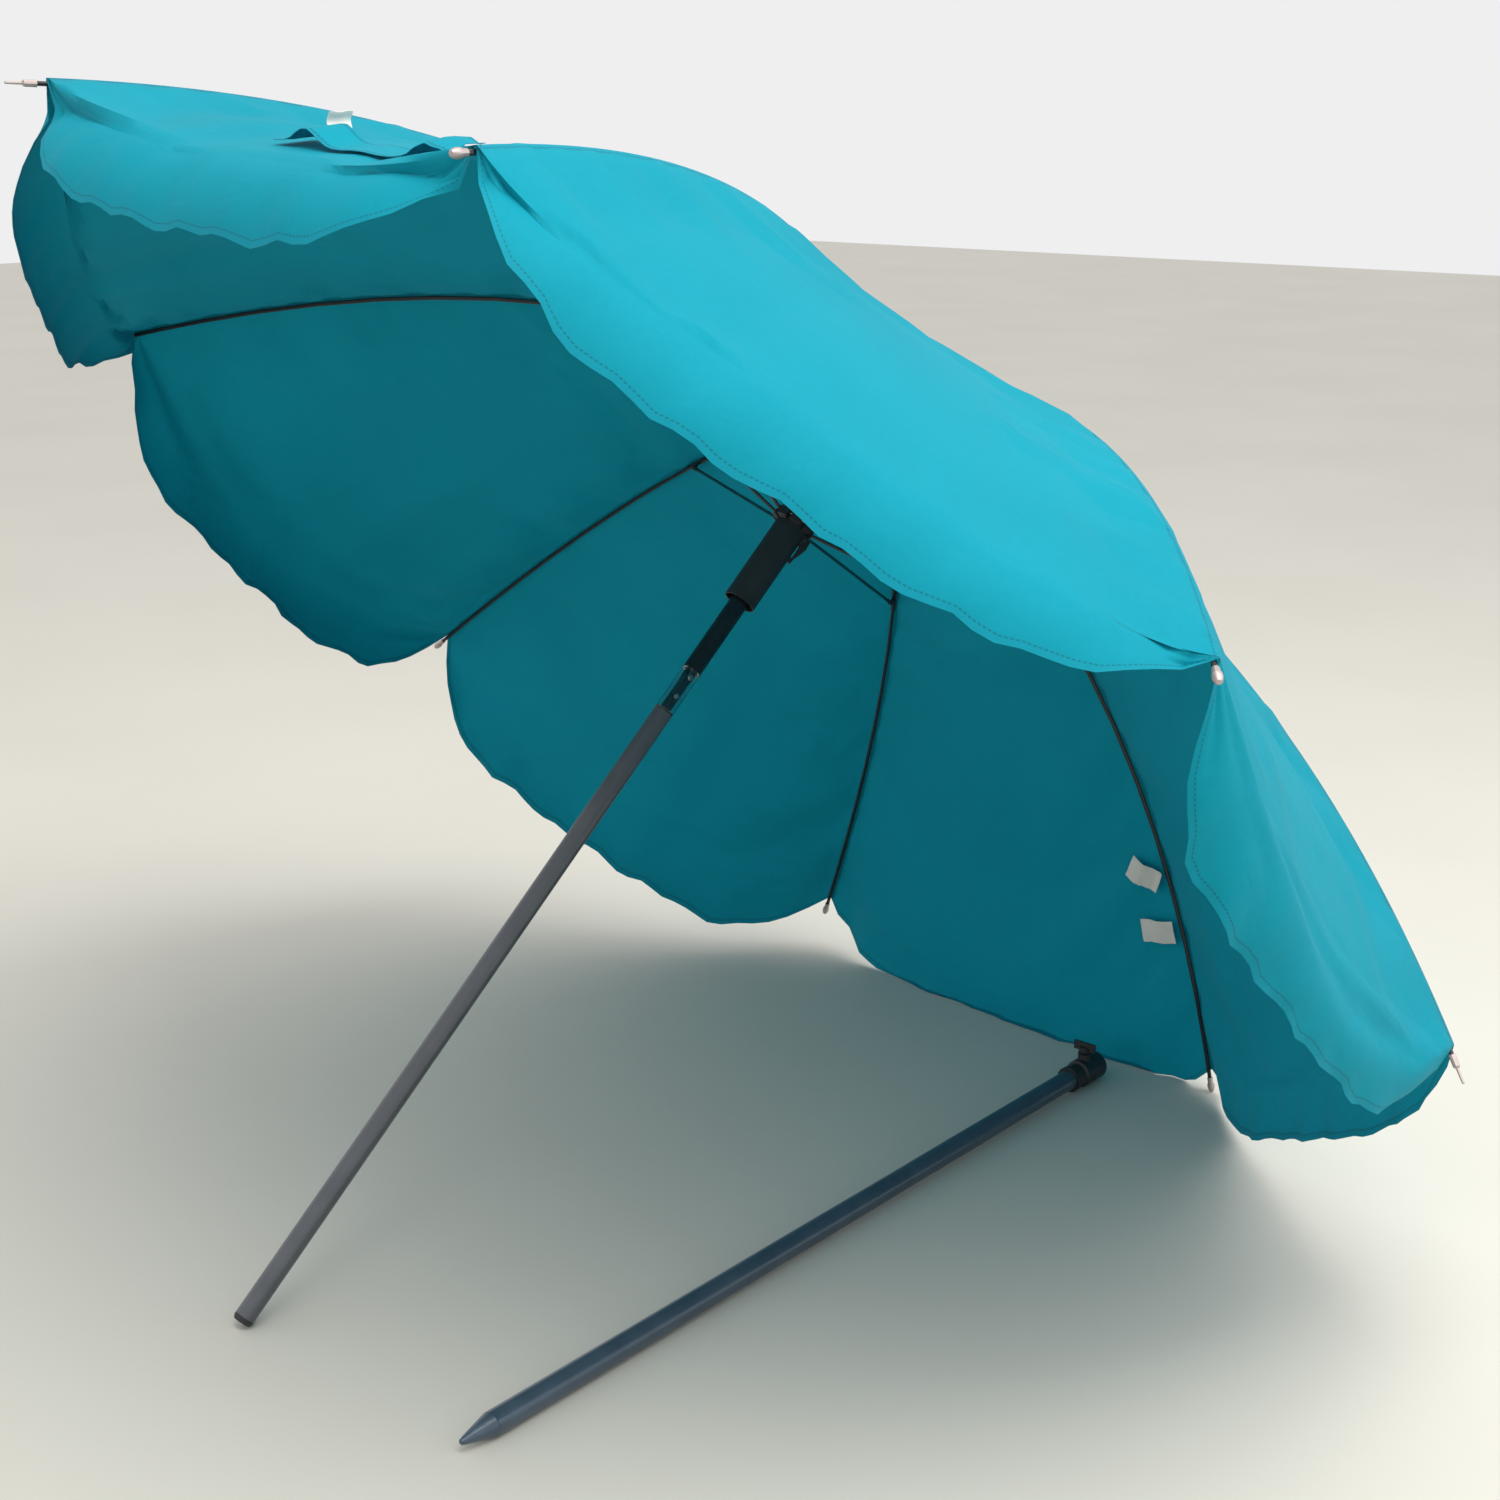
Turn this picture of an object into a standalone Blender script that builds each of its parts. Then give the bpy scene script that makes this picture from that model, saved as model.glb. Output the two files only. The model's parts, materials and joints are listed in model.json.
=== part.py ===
"""Beach umbrella with eight ribs, leaning open on its pole foot and canopy rim.

The pole is in two pieces that part: the canopy hangs on the upper pole, which tilts on a knuckle at the
head of the middle pole, and the spiked lower pole with its clamp lies beside it on the ground.
Metres, +Z up, ground at z = 0. +X runs along the lower pole, from its spike to its socket.
"""

import math

import bmesh
import bpy
from mathutils import Matrix, Vector

# ---- driving dimensions ---------------------------------------------------------------------------
RIB_COUNT = 8
RIM_RADIUS = 0.900  # pole axis to rib tip
DOME_HEIGHT = 0.369  # rim plane to rib pivots
DOME_POWER = 2.2  # how long the ribs stay flat before they bend down
RIM_LEVEL = 0.852  # foot to rim plane, along the pole
FIRST_RIB_ANGLE = math.radians(-16.2)  # rib_1, measured from the pole's upper side
LEAN_AZIMUTH = math.radians(-10.7)  # the way the pole leans, from +X
FOOT_PLACE = (-0.5597, 0.1028)  # where the foot stands

POLE_RADIUS = 0.0110
POLE_WALL = 0.0010
KNUCKLE_BASE = 0.776  # top of the middle pole
KNUCKLE_TOP = 0.833  # bottom of the upper pole
TILT_LEVEL = 0.824
RUNNER_LEVEL = 1.042  # stretcher seats of the open runner
RUNNER_BOTTOM = 0.928
LOWER_POLE_RADIUS = 0.0125
LOWER_POLE_LENGTH = 1.098  # spike point to socket mouth
SPIKE_PLACE = (-0.008, -0.336)  # from the foot to the spike point

RIB_RADIUS = 0.0025
STRETCHER_RADIUS = 0.0020
RIB_PIVOT_RADIUS = 0.0240
SEAT_RADIUS = 0.0245  # stretcher ends on the runner
JOINT_RADIUS = 0.405  # stretcher joints on the ribs
JOINT_DROP = 0.0085  # how far those joints hang below the rib

FABRIC = 0.0015  # canopy thickness as a solid
FABRIC_LIFT = 0.0056  # rib axis to fabric
CROWN_LIFT = 0.0052  # extra lift over the crown hub
CROWN_SPREAD = 0.030
CROWN_HOLE = 0.0140
FABRIC_EDGE = 0.882  # radius of the fabric's corner at a rib
VALANCE = 0.135  # cloth hanging below the line between two tips
GROUND_VALANCE = 0.080  # the same where the rim rests on the ground
VALANCE_POWER = 3

GAP = 0.0003  # clearance between touching pieces
SEGMENTS = 24

TEAL = (0.0, 0.36, 0.50, 1.0)
GREY = (0.12, 0.13, 0.14, 1.0)
BLUE_GREY = (0.08, 0.11, 0.14, 1.0)
BLACK = (0.012, 0.012, 0.014, 1.0)
STEEL = (0.55, 0.53, 0.52, 1.0)
CLEAR = (0.75, 0.85, 0.88, 1.0)
LABEL = (0.82, 0.80, 0.76, 1.0)

CROWN_LEVEL = RIM_LEVEL + DOME_HEIGHT
POLE_BORE = POLE_RADIUS - POLE_WALL
SECTOR = 2 * math.pi / RIB_COUNT

for old in list(bpy.data.objects):
    bpy.data.objects.remove(old, do_unlink=True)

PARTS = bpy.data.collections.new("beach_umbrella")
CUTTERS = bpy.data.collections.new("cutters")
bpy.context.scene.collection.children.link(PARTS)
bpy.context.scene.collection.children.link(CUTTERS)


# ---- helpers --------------------------------------------------------------------------------------
def material(name, colour, roughness, metallic=0.0):
    mat = bpy.data.materials.new(name)
    mat.use_nodes = True
    shader = mat.node_tree.nodes["Principled BSDF"]
    shader.inputs["Base Color"].default_value = colour
    shader.inputs["Roughness"].default_value = roughness
    shader.inputs["Metallic"].default_value = metallic
    return mat


def empty(name, parent=None, location=(0, 0, 0), rotation=None):
    guide = bpy.data.objects.new(name, None)
    PARTS.objects.link(guide)
    guide.parent = parent
    guide.location = location
    if rotation is not None:
        guide.rotation_euler = rotation.to_euler()
    return guide


def place(name, mesh, parent, finish, location=(0, 0, 0)):
    """Makes the named sub-part from a mesh."""
    part = bpy.data.objects.new(name, mesh)
    PARTS.objects.link(part)
    part.parent = parent
    part.location = location
    part.data.materials.clear()
    part.data.materials.append(material(name, *finish))
    return part


def smooth(mesh):
    mesh.shade_smooth()
    mesh.set_sharp_from_angle(angle=math.radians(35))


def finished_mesh(obj):
    """The object's shape with its modifiers, as a plain mesh in its own axes."""
    bpy.context.view_layer.update()
    graph = bpy.context.evaluated_depsgraph_get()
    mesh = bpy.data.meshes.new_from_object(obj.evaluated_get(graph))
    return mesh


def take_mesh(obj):
    """Takes the finished mesh out of a helper object and removes the object."""
    mesh = finished_mesh(obj)
    bpy.data.objects.remove(obj, do_unlink=True)
    return mesh


def turned(profile, closed=False, steps=SEGMENTS):
    """A mesh turned about Z from (radius, height) points, which run down the outer side."""
    mesh = bpy.data.meshes.new("profile")
    edges = [(i, i + 1) for i in range(len(profile) - 1)]
    if closed:
        edges.append((len(profile) - 1, 0))
    mesh.from_pydata([(r, 0, z) for r, z in profile], edges, [])
    helper = bpy.data.objects.new("turning", mesh)
    CUTTERS.objects.link(helper)
    screw = helper.modifiers.new("Screw", "SCREW")
    screw.steps = steps
    screw.render_steps = steps
    screw.use_merge_vertices = True
    screw.merge_threshold = 0.00001
    result = take_mesh(helper)
    smooth(result)
    return result


def tube_profile(outer, inner, low, high):
    return [(outer, high), (outer, low), (inner, low), (inner, high)]


def rod(points, radius, sides=2):
    """A closed round bar along the points."""
    curve = bpy.data.curves.new("rod", "CURVE")
    curve.dimensions = "3D"
    curve.bevel_depth = radius
    curve.bevel_resolution = sides
    curve.use_fill_caps = True
    spline = curve.splines.new("POLY")
    spline.points.add(len(points) - 1)
    for knot, point in zip(spline.points, points):
        knot.co = (*point, 1)
    helper = bpy.data.objects.new("rod", curve)
    CUTTERS.objects.link(helper)
    mesh = take_mesh(helper)
    bm = bmesh.new()
    bm.from_mesh(mesh)
    bmesh.ops.remove_doubles(bm, verts=bm.verts, dist=0.00001)
    bm.to_mesh(mesh)
    bm.free()
    smooth(mesh)
    return mesh


def box(size, centre, turn=None):
    bm = bmesh.new()
    bmesh.ops.create_cube(bm, size=1.0)
    bmesh.ops.transform(bm, matrix=Matrix.Diagonal((*size, 1)), verts=bm.verts)
    matrix = Matrix.Translation(centre)
    if turn is not None:
        matrix = matrix @ turn.to_4x4()
    bmesh.ops.transform(bm, matrix=matrix, verts=bm.verts)
    return to_mesh(bm)


def cylinder(radius, length, centre, axis, sides=16):
    bm = bmesh.new()
    bmesh.ops.create_cone(
        bm, cap_ends=True, segments=sides, radius1=radius, radius2=radius, depth=length
    )
    turn = Vector((0, 0, 1)).rotation_difference(Vector(axis)).to_matrix().to_4x4()
    bmesh.ops.transform(bm, matrix=Matrix.Translation(centre) @ turn, verts=bm.verts)
    return to_mesh(bm)


def torus(major, minor, level, major_steps=24, minor_steps=6):
    """A closed ring about Z."""
    turns = [2 * math.pi * k / minor_steps for k in range(minor_steps)]
    profile = [(major + minor * math.cos(a), level - minor * math.sin(a)) for a in turns]
    return turned(profile, closed=True, steps=major_steps)


def to_mesh(bm):
    mesh = bpy.data.meshes.new("solid")
    bm.to_mesh(mesh)
    bm.free()
    return mesh


def boolean(mesh, tools, operation):
    """Joins tools to the mesh, or cuts them from it."""
    base = bpy.data.objects.new("base", mesh)
    CUTTERS.objects.link(base)
    helpers = []
    for tool in tools:
        cutter = bpy.data.objects.new("cutter", tool)
        cutter.hide_render = True
        cutter.display_type = "WIRE"
        CUTTERS.objects.link(cutter)
        helpers.append(cutter)
        step = base.modifiers.new("Boolean", "BOOLEAN")
        step.operation = operation
        step.object = cutter
    result = take_mesh(base)
    for cutter in helpers:
        bpy.data.objects.remove(cutter, do_unlink=True)
    smooth(result)
    return result


# ---- where things are -----------------------------------------------------------------------------
def rib_height(radius):
    """Height of a rib's axis above the foot, along the pole, at a distance from the pole."""
    return RIM_LEVEL + DOME_HEIGHT * (1 - (radius / RIM_RADIUS) ** DOME_POWER)


def rib_slope(radius):
    return -DOME_HEIGHT * DOME_POWER * radius ** (DOME_POWER - 1) / RIM_RADIUS**DOME_POWER


def rib_point(radius, lift=0.0):
    """(distance from pole, height) of a point on the rib, lifted square to it."""
    tangent = Vector((1, rib_slope(radius))).normalized()
    return Vector((radius - tangent.y * lift, rib_height(radius) + tangent.x * lift))


def rib_angle(number):
    return FIRST_RIB_ANGLE + (number - 1) * SECTOR


TIP_RADIUS_MAX = 0.0045
RESTING_RIB = 5  # the rib whose tip stands on the ground
RESTING_TIP_HEIGHT = 0.0060  # its end point above the ground


def lean_elevation():
    """The pole's angle above the ground that sets the resting rib's tip down on it."""
    drop = -RIM_RADIUS * math.cos(rib_angle(RESTING_RIB))
    foot_height = FOOT_PLUG_RADIUS * math.cos(math.pi / 4)
    rise = RESTING_TIP_HEIGHT - foot_height
    return math.atan2(drop, RIM_LEVEL) + math.asin(rise / math.hypot(drop, RIM_LEVEL))


def lean_matrix():
    """Axes of the leaning umbrella: x to its upper side, y level, z up the pole."""
    lift = lean_elevation()
    up_pole = Vector(
        (
            math.cos(lift) * math.cos(LEAN_AZIMUTH),
            math.cos(lift) * math.sin(LEAN_AZIMUTH),
            math.sin(lift),
        )
    )
    level = Vector((math.sin(LEAN_AZIMUTH), -math.cos(LEAN_AZIMUTH), 0))
    upper = level.cross(up_pole)
    turn = Matrix((upper, level, up_pole)).transposed()
    foot = Vector((*FOOT_PLACE, FOOT_PLUG_RADIUS * math.cos(lift)))
    return Matrix.Translation(foot) @ turn.to_4x4()


FOOT_PLUG_RADIUS = 0.0090
FINISH_TUBE = (BLUE_GREY, 0.38, 0.6)
FINISH_BLACK = (BLACK, 0.45, 0.0)
FINISH_STEEL = (STEEL, 0.35, 1.0)
FINISH_FABRIC = (TEAL, 0.75, 0.0)

LEAN = lean_matrix()
umbrella = empty("umbrella_lean", None, LEAN.to_translation(), LEAN.to_3x3())


# ---- pole and tilt joint --------------------------------------------------------------------------
def make_middle_pole():
    plug_seat = 0.006
    profile = tube_profile(POLE_RADIUS, POLE_BORE, plug_seat, KNUCKLE_BASE)
    place("mid_pole", turned(profile, closed=True), umbrella, (GREY, 0.38, 0.6))
    shoulder = plug_seat - GAP
    stem = POLE_BORE - GAP
    plug = [
        (0, 0.030),
        (stem - 0.001, 0.030),
        (stem, 0.028),
        (stem, shoulder),
        (POLE_RADIUS, shoulder),
        (POLE_RADIUS, 0.0035),
        (FOOT_PLUG_RADIUS, 0),
        (0, 0),
    ]
    place("foot_plug", turned(plug), umbrella, FINISH_BLACK)


def make_tilt_joint():
    """A flat bar on the middle pole inside a fork on the upper pole, with a clear sleeve over both."""
    stem = POLE_BORE - GAP
    bar_width = 0.0110
    bar_thick = 0.0060
    bar_end = TILT_LEVEL
    plug = turned([(0, KNUCKLE_BASE), (stem, KNUCKLE_BASE), (stem, 0.742), (0, 0.742)])
    bar_base = KNUCKLE_BASE - 0.004
    bar = box(
        (bar_width, bar_thick, bar_end - bar_base), (0, 0, (bar_end + bar_base) / 2)
    )
    nose = cylinder(bar_width / 2, bar_thick, (0, 0, bar_end), (0, 1, 0), 20)
    joined = boolean(plug, [bar, nose], "UNION")
    pivot_bore = cylinder(0.0023, 0.04, (0, 0, TILT_LEVEL), (0, 1, 0), 16)
    stop_bore = cylinder(0.0018, 0.04, (0, 0, 0.798), (0, 1, 0), 12)
    lower = boolean(joined, [pivot_bore, stop_bore], "DIFFERENCE")
    place("tilt_lower_knuckle", lower, umbrella, (BLACK, 0.4, 0.3))

    stop = turned(
        [
            (0, 0.0048),
            (0.0022, 0.0048),
            (0.0030, bar_thick / 2 + GAP),
            (0.0018 - GAP, bar_thick / 2 + GAP),
            (0.0018 - GAP, -bar_thick / 2 - GAP),
            (0.0030, -bar_thick / 2 - GAP),
            (0.0022, -0.0048),
            (0, -0.0048),
        ],
        steps=16,
    )
    stop.transform(Matrix.Rotation(math.pi / 2, 4, "X"))
    place("tilt_stop_rivet", stop, umbrella, FINISH_STEEL, (0, 0, 0.798))

    tilt = empty("tilt_axis", umbrella, (0, 0, TILT_LEVEL))
    cheek_gap = bar_thick + 0.0008
    cheek = 0.0016
    fork_low = -0.0060
    fork_high = 0.052
    plug_low = 0.0095
    fork = turned([(0, fork_high), (stem, fork_high), (stem, plug_low), (0, plug_low)])
    arms = []
    for side in (-1, 1):
        middle = side * (cheek_gap + cheek) / 2
        height = plug_low + 0.002 - fork_low - 0.002
        arms.append(box((0.0100, cheek, height), (0, middle, height / 2 + fork_low + 0.002)))
        arms.append(cylinder(0.0050, cheek, (0, middle, 0), (0, 1, 0), 20))
    fork = boolean(fork, arms, "UNION")
    clearance = box((0.020, cheek_gap, 0.0075), (0, 0, 0.00755))
    rivet_bore = cylinder(0.0023, 0.04, (0, 0, 0), (0, 1, 0), 16)
    fork = boolean(fork, [clearance, rivet_bore], "DIFFERENCE")
    place("tilt_upper_knuckle", fork, tilt, (BLACK, 0.4, 0.3))

    half = cheek_gap / 2 + cheek + GAP
    rivet = turned(
        [
            (0, half + 0.0016),
            (0.0024, half + 0.0014),
            (0.0036, half),
            (0.0020, half),
            (0.0020, -half),
            (0.0036, -half),
            (0.0024, -half - 0.0014),
            (0, -half - 0.0016),
        ],
        steps=16,
    )
    rivet.transform(Matrix.Rotation(math.pi / 2, 4, "X"))
    place("tilt_pivot_rivet", rivet, tilt, FINISH_STEEL)

    sleeve = tube_profile(
        POLE_RADIUS, POLE_BORE + 0.0002, KNUCKLE_BASE + GAP, KNUCKLE_TOP - GAP
    )
    place("tilt_sleeve", turned(sleeve, closed=True), umbrella, (CLEAR, 0.1, 0.0))


def make_upper_pole():
    top = CROWN_LEVEL - 0.0105
    profile = tube_profile(POLE_RADIUS, POLE_BORE, KNUCKLE_TOP, top)
    place("upper_pole", turned(profile, closed=True), umbrella, (BLACK, 0.3, 0.5))


def radial_slots(inner, outer, width, low, high, count=RIB_COUNT):
    """Cutting blocks that open a slot for each rib."""
    blocks = []
    for number in range(1, count + 1):
        angle = rib_angle(number)
        reach = (inner + outer) / 2
        centre = (reach * math.cos(angle), reach * math.sin(angle), (low + high) / 2)
        turn = Matrix.Rotation(angle, 3, "Z")
        blocks.append(box((outer - inner, width, high - low), centre, turn))
    return blocks


RING_WIRE = 0.0009


def make_crown():
    """The hub on top of the pole, the wire ring the ribs hang on, and the cap over the cloth."""
    z = CROWN_LEVEL
    hub = [
        (0, z + 0.0190),
        (0.0045, z + 0.0190),
        (0.0050, z + 0.0180),
        (0.0050, z + 0.0085),
        (0.0100, z + 0.0080),
        (0.0290, z + 0.0058),
        (0.0290, z - 0.0070),
        (0.0155, z - 0.0070),
        (0.0155, z - 0.0320),
        (POLE_RADIUS + GAP, z - 0.0320),
        (POLE_RADIUS + GAP, z - 0.0100),
        (0, z - 0.0100),
    ]
    slots = radial_slots(0.0170, 0.0350, 0.0056, z - 0.0090, z + 0.0042)
    groove = torus(RIB_PIVOT_RADIUS, RING_WIRE + GAP, z)
    place(
        "crown_hub", boolean(turned(hub), slots + [groove], "DIFFERENCE"), umbrella, FINISH_BLACK
    )
    wire = torus(RIB_PIVOT_RADIUS, RING_WIRE, z)
    place("crown_ring_wire", wire, umbrella, FINISH_STEEL)
    cap = [
        (0, z + 0.0400),
        (0.0040, z + 0.0390),
        (0.0062, z + 0.0350),
        (0.0068, z + 0.0290),
        (0.0180, z + 0.0240),
        (0.0290, z + 0.0180),
        (0.0320, z + 0.0145),
        (0.0320, z + 0.0125),
        (0.0053, z + 0.0125),
        (0.0053, z + 0.0195),
        (0, z + 0.0195),
    ]
    place("crown_cap", turned(cap), umbrella, FINISH_BLACK)


# ---- runner ---------------------------------------------------------------------------------------
LATCH_ANGLE = rib_angle(4) + SECTOR / 2
LATCH_RADIUS = 0.0215
LATCH_LEVEL = 1.0280
SKIRT_RADIUS = 0.0188


def make_runner():
    """A sliding collar with a long open skirt, slotted on top for the stretcher ends."""
    flange_low = RUNNER_LEVEL - 0.0060
    flange_high = RUNNER_LEVEL + 0.0060
    bore = POLE_RADIUS + 0.0006
    profile = [
        (0.0135, flange_high),
        (SEAT_RADIUS + 0.0012, flange_high - 0.001),
        (SEAT_RADIUS + 0.0012, flange_low),
        (SKIRT_RADIUS, flange_low - 0.002),
        (SKIRT_RADIUS, RUNNER_BOTTOM),
        (SKIRT_RADIUS - 0.0014, RUNNER_BOTTOM),
        (SKIRT_RADIUS - 0.0014, 1.012),
        (bore, 1.016),
        (bore, flange_high),
    ]
    body = turned(profile, closed=True)
    outward = Vector((math.cos(LATCH_ANGLE), math.sin(LATCH_ANGLE), 0))
    side = Vector((-math.sin(LATCH_ANGLE), math.cos(LATCH_ANGLE), 0))
    turn = Matrix.Rotation(LATCH_ANGLE, 3, "Z")
    ears = []
    for hand in (-1, 1):
        centre = outward * (LATCH_RADIUS - 0.0015) + side * hand * 0.0052
        centre.z = LATCH_LEVEL
        ears.append(box((0.0080, 0.0018, 0.0110), centre, turn))
    body = boolean(body, ears, "UNION")
    slots = radial_slots(
        SEAT_RADIUS - 0.0060, 0.0400, 0.0056, flange_low - 0.002, flange_high + 0.002
    )
    groove = torus(SEAT_RADIUS - 0.0043, RING_WIRE + GAP, RUNNER_LEVEL)
    pin_bore = cylinder(
        0.0011, 0.0300, outward * LATCH_RADIUS + Vector((0, 0, LATCH_LEVEL)), side, 12
    )
    window_centre = outward * (SKIRT_RADIUS - 0.001) + Vector((0, 0, 1.0010))
    window = box((0.0090, 0.0064, 0.0120), window_centre, turn)
    body = boolean(body, slots + [groove, pin_bore, window], "DIFFERENCE")
    place("runner", body, umbrella, FINISH_BLACK)

    wire = torus(SEAT_RADIUS - 0.0043, RING_WIRE, RUNNER_LEVEL)
    place("runner_ring_wire", wire, umbrella, FINISH_STEEL)

    hinge = empty("latch_axis", umbrella, outward * LATCH_RADIUS + Vector((0, 0, LATCH_LEVEL)))
    hinge.rotation_euler = (0, 0, LATCH_ANGLE)
    pin = cylinder(0.0008, 0.0116, (0, 0, 0), (0, 1, 0), 12)
    place("latch_pin", pin, hinge, FINISH_STEEL)
    make_latch(hinge)


def make_latch(hinge):
    """A thumb lever seen from the side as a fin, with a nose that reaches in through the window."""
    outline = [
        (0.0006, 0.0050),
        (0.0030, 0.0050),
        (0.0062, 0.0035),
        (0.0070, -0.0060),
        (0.0036, -0.0170),
        (0.0014, -0.0225),
        (0.0010, -0.0300),
        (-0.0070, -0.0290),
        (-0.0064, -0.0245),
        (-0.0014, -0.0235),
        (-0.0016, 0.0020),
    ]
    flat = bpy.data.curves.new("latch", "CURVE")
    flat.dimensions = "2D"
    flat.fill_mode = "BOTH"
    flat.extrude = 0.0030
    spline = flat.splines.new("POLY")
    spline.points.add(len(outline) - 1)
    spline.use_cyclic_u = True
    for knot, (x, z) in zip(spline.points, outline):
        knot.co = (x, z, 0, 1)
    helper = bpy.data.objects.new("latch", flat)
    CUTTERS.objects.link(helper)
    mesh = take_mesh(helper)
    bm = bmesh.new()
    bm.from_mesh(mesh)
    bmesh.ops.remove_doubles(bm, verts=bm.verts, dist=0.00001)
    bm.to_mesh(mesh)
    bm.free()
    mesh.transform(Matrix.Rotation(math.pi / 2, 4, "X"))
    bore = cylinder(0.0011, 0.02, (0, 0, 0), (0, 1, 0), 12)
    lever = boolean(mesh, [bore], "DIFFERENCE")
    place("runner_latch", lever, hinge, FINISH_BLACK)


# ---- ribs, stretchers and tips --------------------------------------------------------------------
RIB_PIVOT = Vector((RIB_PIVOT_RADIUS, rib_height(0.0)))
JOINT_POINT = rib_point(JOINT_RADIUS, -JOINT_DROP)
EYE_RADIUS = 0.0030
EYE_WIDTH = 0.0034


def rib_mesh():
    """A rib from its eye on the crown wire to its tip, with the lug and pin for its stretcher."""
    first = RIB_PIVOT_RADIUS + 0.0022
    last = RIM_RADIUS - 0.0065
    steps = 13
    path = []
    for k in range(steps + 1):
        share = k / steps
        radius = first + (last - first) * (1 - (1 - share) ** 1.25)
        point = rib_point(radius) - RIB_PIVOT
        path.append((point.x, 0, point.y))
    bar = rod(path, RIB_RADIUS, 1)
    eye = cylinder(EYE_RADIUS, EYE_WIDTH, (0, 0, 0), (0, 1, 0), 12)
    joint = JOINT_POINT - RIB_PIVOT
    on_rib = rib_point(JOINT_RADIUS) - RIB_PIVOT
    lean = math.atan(rib_slope(JOINT_RADIUS))
    turn = Matrix.Rotation(-lean, 3, "Y")
    middle = (joint + on_rib) / 2
    lug = box((0.0060, 0.0020, JOINT_DROP), (middle.x, 0, middle.y), turn)
    lug_end = cylinder(0.0030, 0.0020, (joint.x, 0, joint.y), (0, 1, 0), 12)
    pin = cylinder(0.0012, 0.0084, (joint.x, 0, joint.y), (0, 1, 0), 8)
    sleeve_reach = 0.020
    tangent = Vector((math.cos(lean), math.sin(lean)))
    sleeve_ends = [on_rib - tangent * sleeve_reach, on_rib + tangent * sleeve_reach]
    sleeve = rod([(p.x, 0, p.y) for p in sleeve_ends], RIB_RADIUS + 0.0008, 1)
    joined = boolean(bar, [sleeve, eye, lug, lug_end, pin], "UNION")
    wire_bore = cylinder(RING_WIRE + 0.0004, 0.02, (0, 0, 0), (0, 1, 0), 12)
    return boolean(joined, [wire_bore], "DIFFERENCE")


def stretcher_mesh():
    """A stretcher measured from its fork on the rib to its end in the runner."""
    seat = Vector((SEAT_RADIUS - 0.0010, RUNNER_LEVEL)) - JOINT_POINT
    inward = seat.normalized()
    start = inward * 0.0120
    bar = rod([(start.x, 0, start.y), (seat.x, 0, seat.y)], STRETCHER_RADIUS, 1)
    turn = Matrix.Rotation(-math.atan2(inward.y, inward.x), 3, "Y")
    pieces = []
    cheek = 0.0011
    for side in (-1, 1):
        y = side * (0.0010 + GAP + cheek / 2)
        pieces.append(cylinder(0.0032, cheek, (0, y, 0), (0, 1, 0), 12))
        middle = inward * 0.0065
        pieces.append(box((0.0150, cheek, 0.0040), (middle.x, y, middle.y), turn))
    bridge = inward * 0.0125
    pieces.append(box((0.0060, 0.0048, 0.0040), (bridge.x, 0, bridge.y), turn))
    joined = boolean(bar, pieces, "UNION")
    pin_bore = cylinder(0.0015, 0.02, (0, 0, 0), (0, 1, 0), 8)
    return boolean(joined, [pin_bore], "DIFFERENCE")


def barrel_tip_profile():
    """A cast cap with a blind hole for the rib's end."""
    bore = RIB_RADIUS + GAP
    return [
        (0, 0.0060),
        (0.0022, 0.0054),
        (0.0036, 0.0036),
        (0.0040, 0.0010),
        (TIP_RADIUS_MAX, 0.0),
        (TIP_RADIUS_MAX, -0.0050),
        (0.0034, -0.0060),
        (0.0034, -0.0130),
        (bore, -0.0130),
        (bore, -0.0030),
        (0, -0.0030),
    ]


def pin_tip_profile():
    """A slim ferrule that ends in a bare pin."""
    bore = RIB_RADIUS + GAP
    return [
        (0, 0.0170),
        (0.0014, 0.0160),
        (0.0016, 0.0010),
        (0.0034, -0.0010),
        (0.0036, -0.0130),
        (bore, -0.0130),
        (bore, -0.0030),
        (0, -0.0030),
    ]


PIN_TIPS = (1, 4)


def tip_mesh(profile):
    """The tip turned on the rib's end direction, measured from the rib pivot."""
    mesh = turned(profile, steps=10)
    end = rib_point(RIM_RADIUS) - RIB_PIVOT
    slope = math.atan(rib_slope(RIM_RADIUS - 0.008))
    turn = Matrix.Rotation(math.pi / 2 - slope, 4, "Y")
    mesh.transform(Matrix.Translation((end.x, 0, end.y)) @ turn)
    return mesh


# ---- canopy ---------------------------------------------------------------------------------------
def fabric_point(radius, angle_from_rib):
    """A point on the cloth between two ribs, as (x, y, z) along the first rib's own axes."""
    lift = FABRIC_LIFT + CROWN_LIFT * math.exp(-((max(radius - 0.012, 0) / CROWN_SPREAD) ** 2))
    flat = rib_point(radius, lift)
    here = Vector((flat.x, 0, flat.y))
    side = math.copysign(SECTOR, angle_from_rib)
    there = Vector((flat.x * math.cos(side), flat.x * math.sin(side), flat.y))
    share = abs(angle_from_rib) / SECTOR
    return here.lerp(there, share)


def valance_depth(share, depth):
    """Length of loose cloth below the line between two tips."""
    return 0.002 + depth * (1 - abs(2 * share - 1) ** VALANCE_POWER)


def valance_point(share, side, fall):
    """A point on the loose edge: it leaves along the dome, bends down the pole and curls in."""
    edge = fabric_point(FABRIC_EDGE, side * share * SECTOR)
    outward = Vector((math.cos(SECTOR / 2), side * math.sin(SECTOR / 2), 0))
    start = math.atan(-rib_slope(FABRIC_EDGE) * 0.9)
    bend = 9.0  # radians of curl for each metre of cloth
    pieces = 6
    point = edge
    for k in range(pieces):
        heading = start + bend * fall * (k + 0.5) / pieces
        step = fall / pieces
        down = Vector((0, 0, -math.sin(heading)))
        point = point + (outward * math.cos(heading) + down) * step
    return point


COLUMNS = 6
DOME_ROWS = 11
VALANCE_ROWS = 3
GROUND_RIBS = (4, 5, 6)


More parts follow.
